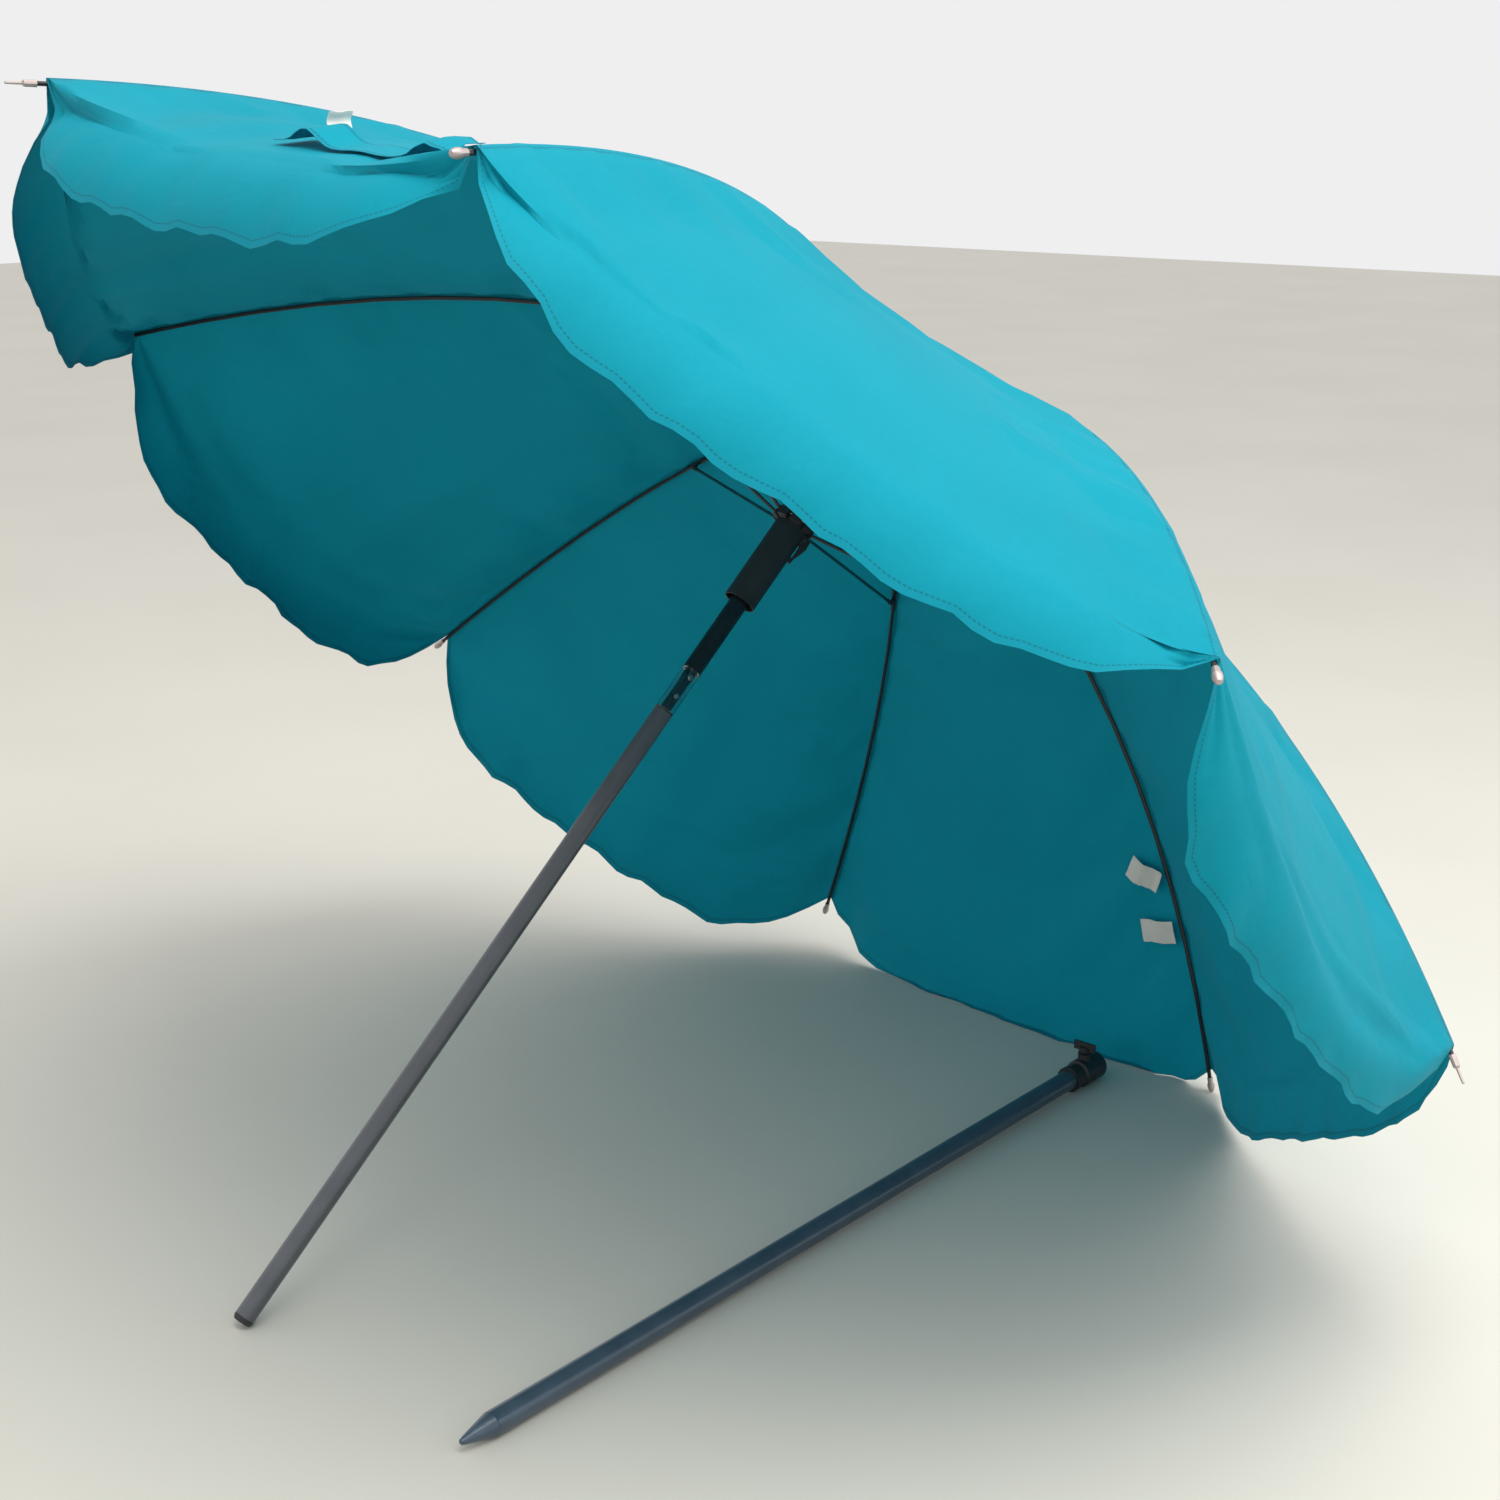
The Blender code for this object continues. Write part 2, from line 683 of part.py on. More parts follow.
def make_panel(number, frame, valance_left, valance_right):
    """The cloth that one rib carries: half a gore on each side of it, with its loose edge."""
    rows = DOME_ROWS + VALANCE_ROWS
    bm = bmesh.new()
    bmesh.ops.create_grid(bm, x_segments=COLUMNS, y_segments=rows, size=1.0)
    to_world = LEAN @ Matrix.Rotation(rib_angle(number), 4, "Z")
    to_local = to_world.inverted()
    offset = Vector((RIB_PIVOT.x, 0, RIB_PIVOT.y))
    for vertex in bm.verts:
        across = vertex.co.x
        down = (vertex.co.y + 1) / 2 * rows
        side = 1 if across >= 0 else -1
        depth = valance_right if side > 0 else valance_left
        dome_share = min(down / DOME_ROWS, 1)
        radius = CROWN_HOLE + (FABRIC_EDGE - CROWN_HOLE) * dome_share**0.8
        chord = 2 * radius * math.sin(SECTOR / 2)
        share = abs(across) * (0.5 - GAP / 2 / chord)
        if down <= DOME_ROWS + 0.001:
            point = fabric_point(radius, side * share * SECTOR)
        else:
            fall = valance_depth(share, depth) * (down - DOME_ROWS) / VALANCE_ROWS
            point = valance_point(share, side, fall)
        world = to_world @ point
        world.z = max(world.z, FABRIC / 2 + 0.0001)
        vertex.co = to_local @ world - offset
    mesh = to_mesh(bm)
    smooth(mesh)
    panel = place(f"canopy_panel_{number}", mesh, frame, FINISH_FABRIC)
    shell = panel.modifiers.new("Solidify", "SOLIDIFY")
    shell.thickness = FABRIC
    shell.offset = 0.0
    return panel


def make_closure_strap(frame):
    """The tie strap sewn on the outside of the cloth near the rim, beside rib 2."""
    rows = []
    for k in range(6):
        share = 0.48 - 0.36 * k / 5
        rows.append((share, 0.845 - 0.010 * k / 5))
    sheet_patch("closure_strap", frame, rows, 0.030, 0.0030, FINISH_FABRIC)


def sheet_patch(name, frame, rows, width, lift, finish):
    """A narrow strip that follows the cloth a little above it, given (share, radius) along its middle."""
    bm = bmesh.new()
    bmesh.ops.create_grid(bm, x_segments=1, y_segments=len(rows) - 1, size=1.0)
    offset = Vector((RIB_PIVOT.x, 0, RIB_PIVOT.y))
    for vertex in bm.verts:
        k = round((vertex.co.y + 1) / 2 * (len(rows) - 1))
        share, radius = rows[k]
        radius += vertex.co.x * width / 2
        point = fabric_point(radius, -share * SECTOR)
        outward = Vector((math.cos(-SECTOR / 2), math.sin(-SECTOR / 2), 0))
        slope = -rib_slope(radius)
        normal = (outward * slope + Vector((0, 0, 1))).normalized()
        vertex.co = point + normal * lift - offset
    mesh = to_mesh(bm)
    strip = place(name, mesh, frame, finish)
    shell = strip.modifiers.new("Solidify", "SOLIDIFY")
    shell.thickness = 0.0014
    shell.offset = 0.0
    return strip


def tag(frame, share, radius, size, turn, lift):
    """A small stiff tag standing on the cloth, or hanging from it, as a thin block."""
    base = fabric_point(radius, share * SECTOR)
    outward = Vector((math.cos(SECTOR / 2), math.copysign(math.sin(SECTOR / 2), share), 0))
    normal = (outward * -rib_slope(radius) + Vector((0, 0, 1))).normalized()
    centre = base + normal * lift - Vector((RIB_PIVOT.x, 0, RIB_PIVOT.y))
    return box(size, centre, normal.to_track_quat("Z", "Y").to_matrix() @ turn)


def make_tags(frame_of_two, frame_of_five):
    """The two sewn tags at the strap's end, and the two care labels inside the resting rib."""
    stand = Matrix.Identity(3)
    pair = boolean(
        tag(frame_of_two, -0.462, 0.815, (0.0012, 0.018, 0.034), stand, 0.0205),
        [tag(frame_of_two, -0.462, 0.809, (0.010, 0.014, 0.026), stand, 0.0165)],
        "UNION",
    )
    place("strap_tags", pair, frame_of_two, (LABEL, 0.8, 0.0))
    for name, radius, spin in (("care_label_low", 0.745, -0.2), ("care_label_high", 0.680, 0.35)):
        turn = Matrix.Rotation(spin, 3, "Z")
        label = tag(frame_of_five, 0.060, radius, (0.045, 0.031, 0.0012), turn, -0.0120)
        place(name, label, frame_of_five, (LABEL, 0.8, 0.0))


def make_canopy_arms():
    ribs = rib_mesh()
    stretchers = stretcher_mesh()
    tips = {True: tip_mesh(pin_tip_profile()), False: tip_mesh(barrel_tip_profile())}
    frames = {}
    for number in range(1, RIB_COUNT + 1):
        angle = rib_angle(number)
        across = Vector((math.cos(angle), math.sin(angle), 0))
        pivot = across * RIB_PIVOT.x + Vector((0, 0, RIB_PIVOT.y))
        frame = empty(f"rib_axis_{number}", umbrella, pivot, Matrix.Rotation(angle, 3, "Z"))
        place(f"rib_{number}", ribs.copy(), frame, (BLACK, 0.45, 0.4))
        place(f"rib_tip_{number}", tips[number in PIN_TIPS].copy(), frame, FINISH_STEEL)
        reach = JOINT_POINT - RIB_PIVOT
        joint = empty(f"stretcher_axis_{number}", frame, (reach.x, 0, reach.y))
        place(f"stretcher_{number}", stretchers.copy(), joint, (BLACK, 0.45, 0.4))
        before = GROUND_VALANCE if number - 1 in GROUND_RIBS[:2] else VALANCE
        after = GROUND_VALANCE if number in GROUND_RIBS[:2] else VALANCE
        make_panel(number, frame, before, after)
        frames[number] = frame
    make_closure_strap(frames[2])
    make_tags(frames[2], frames[5])


# ---- lower pole -----------------------------------------------------------------------------------
COLLAR_RADIUS = 0.0175
COLLAR_LENGTH = 0.064
SPIKE_LENGTH = 0.040


def make_lower_pole():
    """The lower pole, its ground spike, and the clamp that grips the middle pole in its socket."""
    drop = (COLLAR_RADIUS - LOWER_POLE_RADIUS) / (LOWER_POLE_LENGTH - 0.1)
    place_of_point = Vector((FOOT_PLACE[0] + SPIKE_PLACE[0], FOOT_PLACE[1] + SPIKE_PLACE[1], 0))
    place_of_point.z = LOWER_POLE_RADIUS - drop * SPIKE_LENGTH + 0.0001
    turn = Matrix.Rotation(math.pi / 2 - math.atan(drop), 3, "Y")
    rest = empty("lower_pole_rest", None, place_of_point, turn)
    inner = POLE_RADIUS + 0.0004
    tube_end = LOWER_POLE_LENGTH - 0.012
    tube = tube_profile(LOWER_POLE_RADIUS, inner, SPIKE_LENGTH, tube_end)
    place("lower_pole", turned(tube, closed=True), rest, FINISH_TUBE)

    seat = SPIKE_LENGTH - GAP
    spike = [
        (0, SPIKE_LENGTH + 0.045),
        (inner - 0.002, SPIKE_LENGTH + 0.045),
        (inner - GAP, SPIKE_LENGTH + 0.043),
        (inner - GAP, seat),
        (LOWER_POLE_RADIUS, seat),
        (0.0042, 0.0060),
        (0.0030, 0.0022),
        (0, 0),
    ]
    place("ground_spike", turned(spike), rest, FINISH_TUBE)

    low = LOWER_POLE_LENGTH - COLLAR_LENGTH
    high = LOWER_POLE_LENGTH
    outer_fit = LOWER_POLE_RADIUS + GAP
    step = tube_end + GAP
    collar = [
        (inner + 0.0012, high),
        (COLLAR_RADIUS - 0.0015, high),
        (COLLAR_RADIUS, high - 0.0015),
        (COLLAR_RADIUS, low + 0.022),
        (COLLAR_RADIUS - 0.0025, low + 0.020),
        (COLLAR_RADIUS - 0.0025, low + 0.008),
        (COLLAR_RADIUS - 0.0012, low + 0.007),
        (COLLAR_RADIUS - 0.0012, low),
        (outer_fit, low),
        (outer_fit, step),
        (inner, step),
        (inner, high - 0.0015),
    ]
    body = turned(collar, closed=True)
    boss_level = low + 0.036
    boss = cylinder(0.0085, 0.0120, (-COLLAR_RADIUS - 0.0010, 0, boss_level), (1, 0, 0), 20)
    body = boolean(body, [boss], "UNION")
    screw_radius = 0.0030
    bore = cylinder(screw_radius + GAP, 0.0130, (-COLLAR_RADIUS - 0.0020, 0, boss_level), (1, 0, 0), 16)
    clear = cylinder(outer_fit, COLLAR_LENGTH - 0.014, (0, 0, low + 0.02499), (0, 0, 1), SEGMENTS)
    body = boolean(body, [bore, clear], "DIFFERENCE")
    place("clamp_collar", body, rest, FINISH_BLACK)

    screw_end = LOWER_POLE_RADIUS + GAP + 0.0002
    knob_seat = COLLAR_RADIUS + 0.0070 + GAP
    axis = empty("knob_axis", rest, (0, 0, boss_level))
    knob = [
        (0, -screw_end),
        (screw_radius - 0.0002, -screw_end),
        (screw_radius - 0.0002, -knob_seat),
        (0.0070, -knob_seat),
        (0.0078, -knob_seat - 0.0012),
        (0.0078, -knob_seat - 0.0060),
        (0.0060, -knob_seat - 0.0080),
        (0, -knob_seat - 0.0084),
    ]
    mesh = turned(knob, steps=20)
    mesh.transform(Matrix.Rotation(math.pi / 2, 4, "Y"))
    wing = box((0.0110, 0.0300, 0.0034), (-knob_seat - 0.0085, 0, 0))
    place("clamp_knob", boolean(mesh, [wing], "UNION"), axis, FINISH_BLACK)


make_middle_pole()
make_tilt_joint()
make_upper_pole()
make_crown()
make_runner()
make_canopy_arms()
make_lower_pole()
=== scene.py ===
# %% [markdown]
# # A leaning beach umbrella
# A folding umbrella is a set of steel ribs with one sewn cloth stretched over them. The hard parts are
# already measured, so they are loaded first and never moved. This lesson gives them their finishes and
# makes the soft parts: the cloth, its strap, its labels and the clear sleeve over the tilt knuckle.

# %% Load the measured frame
import json
import math

import bmesh
import bpy
import numpy as np
from mathutils import Matrix, Vector


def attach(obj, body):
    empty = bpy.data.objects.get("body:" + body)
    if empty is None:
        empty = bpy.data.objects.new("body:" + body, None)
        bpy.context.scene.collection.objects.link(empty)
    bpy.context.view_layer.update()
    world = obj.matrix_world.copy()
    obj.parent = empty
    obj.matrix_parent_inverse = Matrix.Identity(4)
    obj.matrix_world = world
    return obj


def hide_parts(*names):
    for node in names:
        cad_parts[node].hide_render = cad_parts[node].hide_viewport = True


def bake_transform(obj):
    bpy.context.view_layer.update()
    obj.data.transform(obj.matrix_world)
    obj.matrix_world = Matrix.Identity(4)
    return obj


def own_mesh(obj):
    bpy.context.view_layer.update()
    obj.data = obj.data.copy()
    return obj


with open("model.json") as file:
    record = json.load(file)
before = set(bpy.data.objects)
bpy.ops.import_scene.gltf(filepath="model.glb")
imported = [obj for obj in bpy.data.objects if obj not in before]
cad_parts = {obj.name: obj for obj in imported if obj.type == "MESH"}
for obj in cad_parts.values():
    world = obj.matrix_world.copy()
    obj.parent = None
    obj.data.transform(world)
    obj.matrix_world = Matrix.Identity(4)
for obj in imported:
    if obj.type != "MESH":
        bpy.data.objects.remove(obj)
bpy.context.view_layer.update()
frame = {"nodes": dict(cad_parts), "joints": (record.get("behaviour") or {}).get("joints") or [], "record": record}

# %% [markdown]
# ## Where the umbrella stands
# Every position comes from the joints of the measured frame. The slide of the runner gives the direction
# of the pole, and each rib's hinge gives that rib's own axes: out from the pole, across, and up the pole.

# %% The pole and the rib axes
joints = {joint["name"]: joint for joint in frame["joints"]}
mounts = {mount["name"]: mount for mount in frame["record"]["mounts"]}
RIB_COUNT = 8
SECTOR = 2 * math.pi / RIB_COUNT
UP_POLE = -Vector(joints["runner_slide"]["axis"]).normalized()
FOOT = Vector(mounts["pole_foot"]["pos_m"])


def rib_axes(number):
    """A matrix from one rib's own axes to the room: x out along the rib, y across it, z up the pole."""
    across = Vector(joints[f"rib_fold_{number}"]["axis"]).normalized()
    out = across.cross(UP_POLE).normalized()
    turn = Matrix((out, across, UP_POLE)).transposed()
    return Matrix.Translation(FOOT) @ turn.to_4x4()


ARMS = {number: rib_axes(number) for number in range(1, RIB_COUNT + 1)}
print("pole leans", round(90 - math.degrees(math.asin(UP_POLE.z)), 1), "degrees from upright")

# %% [markdown]
# ## One way to mix a colour and add a node
# Colours are given as sRGB hex values, and the shaders work in linear light, so one function turns one
# into the other.

# %% Colour and node helpers
def linear(code, alpha=1.0):
    """An sRGB hex colour as linear red, green, blue and alpha."""
    parts = [int(code[i : i + 2], 16) / 255 for i in (1, 3, 5)]
    light = [c / 12.92 if c <= 0.04045 else ((c + 0.055) / 1.055) ** 2.4 for c in parts]
    return (*light, alpha)


def add(tree, kind, inputs=(), **settings):
    """Adds a node. inputs maps a socket's name or place to a value or to another node's output."""
    node = tree.nodes.new(kind)
    for name, value in settings.items():
        setattr(node, name, value)
    for key, value in dict(inputs).items():
        if isinstance(value, bpy.types.NodeSocket):
            tree.links.new(value, node.inputs[key])
        else:
            node.inputs[key].default_value = value
    return node


def new_finish(name):
    """An empty material and its node tree."""
    finish = bpy.data.materials.new(name)
    finish.use_nodes = True
    finish.node_tree.nodes.clear()
    return finish, finish.node_tree


MM = 0.001
print("teal in linear light:", [round(c, 3) for c in linear("#00A9C4")])

# %% [markdown]
# ## Powder-coated and enamelled steel
# The grey and blue-grey tubes are powder coated: dry paint baked on, which leaves a faint orange-peel
# ripple 1 to 2 mm wide and dulls the shine. The black tube and the ribs are dipped in enamel, which is
# smoother. Both get worn by sand, so their roughness varies and fine rubbed streaks run round them.

# %% Painted metal finishes
def painted_steel(name, body, worn, rough, peel_mm, depth_mm):
    finish, tree = new_finish(name)
    place = add(tree, "ShaderNodeTexCoord").outputs["Object"]
    patch = add(tree, "ShaderNodeTexNoise", {"Vector": place, "Scale": 1 / (35 * MM), "Detail": 5.0})
    rub = add(tree, "ShaderNodeTexNoise", {"Vector": place, "Scale": 1 / (4 * MM), "Detail": 6.0, "Roughness": 0.7})
    chips = add(tree, "ShaderNodeMapRange", {"Value": rub.outputs["Fac"], "From Min": 0.62, "From Max": 0.78})
    tone = add(tree, "ShaderNodeMix", {0: patch.outputs["Fac"], 6: linear(body), 7: linear(worn)}, data_type="RGBA")
    chipped = add(tree, "ShaderNodeMix", {0: chips.outputs[0], 6: tone.outputs[2], 7: linear(worn)}, data_type="RGBA")
    shine = {"Value": patch.outputs["Fac"], "To Min": rough - 0.06, "To Max": rough + 0.12}
    dull = add(tree, "ShaderNodeMapRange", shine)
    peel = add(tree, "ShaderNodeTexNoise", {"Vector": place, "Scale": 1 / (peel_mm * MM), "Detail": 2.0})
    bump = add(tree, "ShaderNodeBump", {"Height": peel.outputs["Fac"], "Distance": depth_mm * MM, "Strength": 0.6})
    shader = add(
        tree,
        "ShaderNodeBsdfPrincipled",
        {
            "Base Color": chipped.outputs[2],
            "Roughness": dull.outputs[0],
            "Normal": bump.outputs[0],
            "Metallic": 0.35,
            "Coat Weight": 0.25,
            "Coat Roughness": 0.2,
        },
    )
    add(tree, "ShaderNodeOutputMaterial", {"Surface": shader.outputs[0]})
    return finish


grey_powder_coat = painted_steel("grey_powder_coated_steel", "#4B4E54", "#63666B", 0.32, 1.6, 0.05)
blue_powder_coat = painted_steel("blue_grey_powder_coated_steel", "#3B4A58", "#566675", 0.30, 1.6, 0.05)
black_enamel = painted_steel("black_enamelled_steel", "#15171A", "#26292D", 0.22, 2.5, 0.02)
rib_enamel = painted_steel("black_enamelled_wire", "#101214", "#24272B", 0.34, 1.2, 0.02)
print("painted finishes:", grey_powder_coat.name, blue_powder_coat.name, black_enamel.name)

# %% [markdown]
# ## Bare metal and moulded plastic
# Rivets and ring wires are zinc-plated steel: a true metal with small dull spots. The rib tips are cast
# alloy, whose skin is grainy. The runner, hub, cap, clamp and knob are moulded black nylon, spark-eroded
# in the mould, which leaves a fine pebble about 0.5 mm across. It is drawn at 0.9 mm so that it shows.

# %% Metal and nylon finishes
def bare_metal(name, body, spot, rough, grain_mm):
    finish, tree = new_finish(name)
    place = add(tree, "ShaderNodeTexCoord").outputs["Object"]
    grain = add(tree, "ShaderNodeTexNoise", {"Vector": place, "Scale": 1 / (grain_mm * MM), "Detail": 4.0})
    tone = add(tree, "ShaderNodeMix", {0: grain.outputs["Fac"], 6: linear(body), 7: linear(spot)}, data_type="RGBA")
    shine = {"Value": grain.outputs["Fac"], "To Min": rough - 0.08, "To Max": rough + 0.14}
    dull = add(tree, "ShaderNodeMapRange", shine)
    bump = add(tree, "ShaderNodeBump", {"Height": grain.outputs["Fac"], "Distance": 0.03 * MM, "Strength": 0.5})
    shader = add(
        tree,
        "ShaderNodeBsdfPrincipled",
        {"Base Color": tone.outputs[2], "Roughness": dull.outputs[0], "Normal": bump.outputs[0], "Metallic": 1.0},
    )
    add(tree, "ShaderNodeOutputMaterial", {"Surface": shader.outputs[0]})
    return finish


def moulded_nylon(name, body, scuff):
    finish, tree = new_finish(name)
    place = add(tree, "ShaderNodeTexCoord").outputs["Object"]
    pebble = add(tree, "ShaderNodeTexVoronoi", {"Vector": place, "Scale": 1 / (0.9 * MM)})
    dust = add(tree, "ShaderNodeTexNoise", {"Vector": place, "Scale": 1 / (14 * MM), "Detail": 6.0})
    tone = add(tree, "ShaderNodeMix", {0: dust.outputs["Fac"], 6: linear(body), 7: linear(scuff)}, data_type="RGBA")
    dull = add(tree, "ShaderNodeMapRange", {"Value": dust.outputs["Fac"], "To Min": 0.38, "To Max": 0.62})
    bump = add(tree, "ShaderNodeBump", {"Height": pebble.outputs["Distance"], "Distance": 0.06 * MM, "Strength": 0.5})
    shader = add(
        tree,
        "ShaderNodeBsdfPrincipled",
        {"Base Color": tone.outputs[2], "Roughness": dull.outputs[0], "Normal": bump.outputs[0], "IOR": 1.53},
    )
    add(tree, "ShaderNodeOutputMaterial", {"Surface": shader.outputs[0]})
    return finish


zinc_plate = bare_metal("zinc_plated_steel", "#C9C8C6", "#A9A7A3", 0.32, 1.2)
cast_alloy = bare_metal("cast_zinc_alloy", "#CDBFBB", "#A79A97", 0.48, 0.8)
black_steel = painted_steel("blackened_steel", "#1B2026", "#343B43", 0.40, 1.2, 0.02)
nylon = moulded_nylon("moulded_black_nylon", "#17181A", "#2B2D30")
print("bare finishes:", zinc_plate.name, cast_alloy.name, nylon.name)

# %% [markdown]
# ## Woven polyester, dyed teal
# The cloth is a plain weave, about 25 threads to the centimetre. Threads of 0.4 mm are too fine to show
# at this distance, so the weave is drawn at 1.8 mm. It is thin enough to glow: light that falls on the
# outside comes through to the inside, which a translucent shader mixed with the surface gives. Where the
# cloth is doubled, at the seam over each rib and in the rolled hem, less light comes through, and two rows
# of stitches about 3 mm long hold it. The doubled bands are also tinted darker, a painted shade for the
# light that two layers hold back. The first map holds metres across and along, and the second holds
# metres from the free edge.

# %% The cloth finish
def woven_polyester():
    finish, tree = new_finish("woven_teal_polyester")
    cloth = add(tree, "ShaderNodeSeparateXYZ", {0: add(tree, "ShaderNodeUVMap", uv_map="cloth").outputs[0]})
    rim = add(tree, "ShaderNodeSeparateXYZ", {0: add(tree, "ShaderNodeUVMap", uv_map="rim").outputs[0]})
    across, along, edge = cloth.outputs[0], cloth.outputs[1], rim.outputs[0]

    def sums(operation, first, second=0.0, clamp=False):
        return add(tree, "ShaderNodeMath", {0: first, 1: second}, operation=operation, use_clamp=clamp).outputs[0]

    def band(value, width):
        return sums("LESS_THAN", value, width)

    from_seam = sums("ABSOLUTE", across)
    doubled = sums("MAXIMUM", band(from_seam, 5 * MM), band(edge, 9 * MM))

    def stitch_row(distance, offset, run):
        near = band(sums("ABSOLUTE", sums("SUBTRACT", distance, offset)), 0.7 * MM)
        dash = sums("GREATER_THAN", sums("SINE", sums("MULTIPLY", run, 2 * math.pi / (4.5 * MM))), -0.3)
        return sums("MULTIPLY", near, dash)

    stitches = sums("MAXIMUM", stitch_row(from_seam, 3.5 * MM, along), stitch_row(edge, 7 * MM, across))
    turn = 2 * math.pi / (1.8 * MM)
    warp = sums("SINE", sums("MULTIPLY", across, turn))
    weft = sums("SINE", sums("MULTIPLY", along, turn))
    weave = sums("MULTIPLY", warp, weft)

    place = add(tree, "ShaderNodeTexCoord").outputs["Object"]
    fade = add(tree, "ShaderNodeTexNoise", {"Vector": place, "Scale": 1 / 0.22, "Detail": 4.0})
    slub = add(tree, "ShaderNodeTexNoise", {"Vector": place, "Scale": 1 / (7 * MM), "Detail": 5.0})
    crush = add(tree, "ShaderNodeTexNoise", {"Vector": place, "Scale": 1 / 0.045, "Detail": 3.0, "Distortion": 1.2})

    def tint(share, first, second):
        return add(tree, "ShaderNodeMix", {0: share, 6: first, 7: second}, data_type="RGBA").outputs[2]

    dyed = tint(fade.outputs["Fac"], linear("#009CB2"), linear("#00ADC3"))
    mottled = tint(sums("MULTIPLY", slub.outputs["Fac"], 0.18), dyed, linear("#00828F"))
    # Painted shade: the doubled seam and hem bands are tinted darker, for the light that two layers hold back.
    doubled_painted_shade = tint(sums("MULTIPLY", doubled, 0.35), mottled, linear("#057C93"))
    sewn = tint(sums("MULTIPLY", stitches, 0.6), doubled_painted_shade, linear("#045E70"))

    threads = sums("MULTIPLY", weave, 0.10)
    hem = sums("MULTIPLY", doubled, 0.9)
    pulled = sums("MULTIPLY", stitches, -0.9)
    creased = sums("MULTIPLY", crush.outputs["Fac"], 2.2)
    height = sums("ADD", sums("ADD", threads, hem), sums("ADD", pulled, creased))
    bump = add(tree, "ShaderNodeBump", {"Height": height, "Distance": 0.6 * MM, "Strength": 0.7}).outputs[0]
    surface = add(
        tree,
        "ShaderNodeBsdfPrincipled",
        {
            "Base Color": sewn,
            "Roughness": 0.72,
            "Normal": bump,
            "Sheen Weight": 0.03,
            "Sheen Roughness": 0.4,
            "Specular IOR Level": 0.18,
        },
    )
    glow = add(tree, "ShaderNodeBsdfTranslucent", {"Color": sewn, "Normal": bump})
    through = sums("SUBTRACT", 0.30, sums("MULTIPLY", doubled, 0.12))
    both = add(tree, "ShaderNodeMixShader", {0: through, 1: surface.outputs[0], 2: glow.outputs[0]})
    add(tree, "ShaderNodeOutputMaterial", {"Surface": both.outputs[0]})
    return finish


polyester = woven_polyester()
print("cloth finish:", polyester.name, len(polyester.node_tree.nodes), "nodes")

# %% [markdown]
# ## Label tape and clear vinyl
# The labels are satin tape, woven tightly with a slight ribbing and left blank. The sleeve over the tilt
# knuckle is soft clear vinyl: it bends light like glass but is cloudy with fine scratches.

# %% Tape and vinyl finishes
def satin_tape(name, body, soil):
    finish, tree = new_finish(name)
    place = add(tree, "ShaderNodeTexCoord").outputs["Object"]
    rib = add(tree, "ShaderNodeTexWave", {"Vector": place, "Scale": 1 / (9 * MM), "Distortion": 0.4})
    stain = add(tree, "ShaderNodeTexNoise", {"Vector": place, "Scale": 1 / (12 * MM), "Detail": 5.0})
    tone = add(tree, "ShaderNodeMix", {0: stain.outputs["Fac"], 6: linear(body), 7: linear(soil)}, data_type="RGBA")
    bump = add(tree, "ShaderNodeBump", {"Height": rib.outputs["Fac"], "Distance": 0.1 * MM, "Strength": 0.5})
    shader = add(
        tree,
        "ShaderNodeBsdfPrincipled",
        {"Base Color": tone.outputs[2], "Roughness": 0.62, "Normal": bump.outputs[0], "Sheen Weight": 0.2},
    )
    add(tree, "ShaderNodeOutputMaterial", {"Surface": shader.outputs[0]})
    return finish


def clear_vinyl():
    finish, tree = new_finish("clear_soft_vinyl")
    place = add(tree, "ShaderNodeTexCoord").outputs["Object"]
    scratch = add(tree, "ShaderNodeTexNoise", {"Vector": place, "Scale": 1 / (3 * MM), "Detail": 6.0})
    cloud = add(tree, "ShaderNodeMapRange", {"Value": scratch.outputs["Fac"], "To Min": 0.05, "To Max": 0.22})
    bump = add(tree, "ShaderNodeBump", {"Height": scratch.outputs["Fac"], "Distance": 0.05 * MM, "Strength": 0.4})
    shader = add(
        tree,
        "ShaderNodeBsdfPrincipled",
        {
            "Base Color": linear("#E6F1F2"),
            "Roughness": cloud.outputs[0],
            "Normal": bump.outputs[0],
            "IOR": 1.45,
            "Transmission Weight": 1.0,
        },
    )
    add(tree, "ShaderNodeOutputMaterial", {"Surface": shader.outputs[0]})
    return finish


label_tape = satin_tape("white_satin_tape", "#E4E2DC", "#CFCBC1")
vinyl = clear_vinyl()
print("trim finishes:", label_tape.name, vinyl.name)

# %% [markdown]
# ## Finishing the hard parts
# Each hard part keeps its measured shape and gets the finish its name calls for. A weld joins its corners
# for the render, and an edge split keeps the sharp ones sharp, so that turned parts look round.

# %% Give every hard part its finish
FINISHES = {
    "mid_pole": grey_powder_coat,
    "lower_pole": blue_powder_coat,
    "ground_spike": blue_powder_coat,
    "upper_pole": black_enamel,
    "tilt_lower_knuckle": black_steel,
    "tilt_upper_knuckle": black_steel,
    "tilt_stop_rivet": zinc_plate,
    "tilt_pivot_rivet": zinc_plate,
    "crown_ring_wire": zinc_plate,
    "runner_ring_wire": zinc_plate,
    "latch_pin": zinc_plate,
}
SOFT = ("canopy_panel", "closure_strap", "strap_tags", "care_label", "tilt_sleeve")


def finish_for(name):
    if name.startswith("rib_tip"):
        return cast_alloy
    if name.startswith(("rib_", "stretcher_")):
        return rib_enamel
    return FINISHES.get(name, nylon)


dressed = 0
for name, part in frame["nodes"].items():
    if name.startswith(SOFT):
        continue
    part.data.materials.clear()
    part.data.materials.append(finish_for(name))
    part.data.shade_smooth()
    weld = part.modifiers.new("weld corners", "WELD")
    weld.merge_threshold = 0.00002
    split = part.modifiers.new("keep edges", "EDGE_SPLIT")
    split.split_angle = math.radians(35)
    dressed += 1
print("hard parts finished:", dressed)

